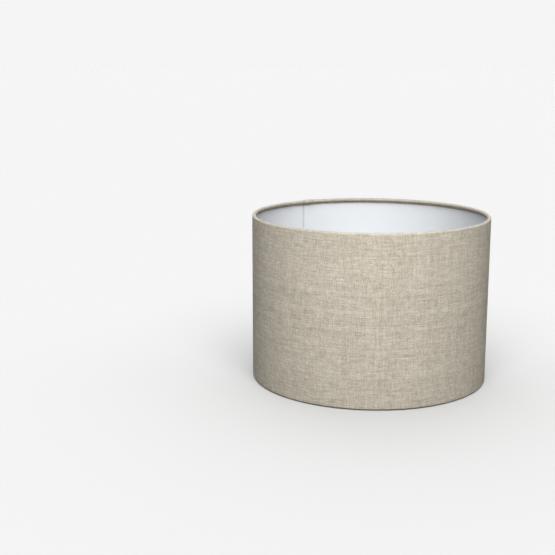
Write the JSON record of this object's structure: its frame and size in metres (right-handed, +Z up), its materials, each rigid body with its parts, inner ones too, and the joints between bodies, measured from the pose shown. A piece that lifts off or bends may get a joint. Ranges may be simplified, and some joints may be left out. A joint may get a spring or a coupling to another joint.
{
  "type": "lamp shade",
  "caption": "Straight-sided drum lamp shade in natural linen-look cloth with a white hard lining and a recessed spoked fitting with a lift-out reducer ring.",
  "frame": {"origin": "centre of the base, on the surface that the shade stands on", "axes": "+Z up along the drum's axis; -Y towards the viewer in the front view; the seam is at the back left, 123 degrees from +X seen from above"},
  "size_m": [0.3, 0.3, 0.21],
  "materials": {
    "linen_cloth": "matt plain weave, natural and cream",
    "white_lining": "matt white laminate",
    "tape": "translucent double-sided tape",
    "coated_wire": "white coated",
    "coated_steel": "white coated",
    "reducer_plastic": "satin moulded"
  },
  "bodies": {
    "shade": {"fabric_cover": "linen_cloth", "liner_panel": "white_lining", "seam_tape": "tape", "top_ring": "coated_wire", "bottom_ring": "coated_wire", "top_ring_tape": "tape", "bottom_ring_tape": "tape", "spoke_1": "coated_wire", "spoke_2": "coated_wire", "spoke_3": "coated_wire", "fitting_ring": "coated_steel"},
    "reducer": {"reducer_ring": "reducer_plastic"}
  },
  "joints": [
    {"name": "reducer_lift", "type": "slide", "parent": "shade", "child": "reducer", "axis": [0, 0, 1], "range_m": [0, 0.2]}
  ]
}
